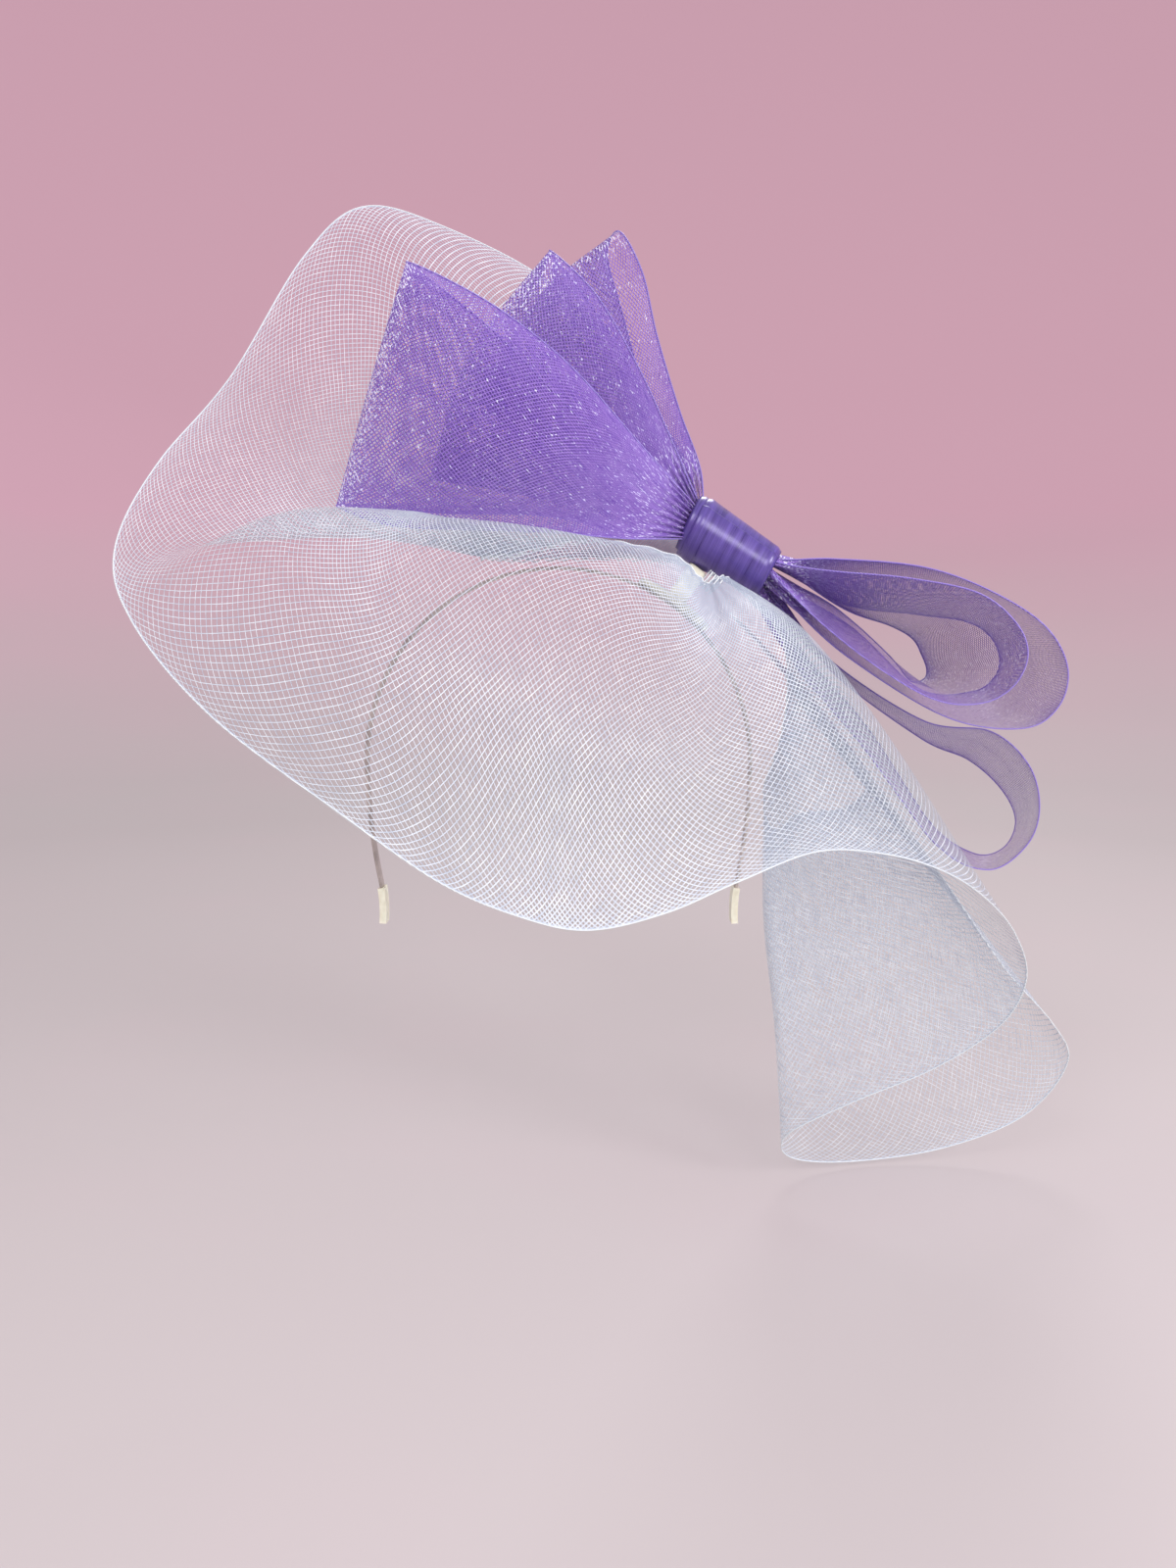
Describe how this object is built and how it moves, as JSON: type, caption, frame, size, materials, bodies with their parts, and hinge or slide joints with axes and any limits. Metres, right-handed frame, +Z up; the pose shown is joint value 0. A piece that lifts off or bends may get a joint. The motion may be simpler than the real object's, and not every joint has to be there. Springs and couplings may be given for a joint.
{
  "type": "fascinator headpiece",
  "caption": "Fascinator headpiece: a gathered white crinoline brim and tail with a looped purple bow, satin knot and slim metal headband.",
  "frame": {"origin": "centre of the headband's round crown, midway across the band's width", "axes": "+Z up, +Y out of the back of the head, +X towards the side that carries the bow"},
  "size_m": [0.3992, 0.2331, 0.44],
  "materials": {
    "band_metal": "satin",
    "cream_sleeve": "satin",
    "cream_felt": "matte",
    "white_crinoline": "satin",
    "white_thread": "matte",
    "purple_crinoline": "satin",
    "purple_satin": "satin",
    "purple_thread": "matte"
  },
  "bodies": {
    "root": {"headband": "band_metal", "tip_left": "cream_sleeve", "tip_right": "cream_sleeve", "base_pad": "cream_felt", "base_post": "cream_felt", "white_crin": "white_crinoline", "gather_thread": "white_thread", "bow_strip_front": "purple_crinoline", "bow_strip_middle": "purple_crinoline", "bow_strip_back": "purple_crinoline", "knot_wrap": "purple_satin", "wrap_stitches": "purple_thread"}
  },
  "joints": []
}
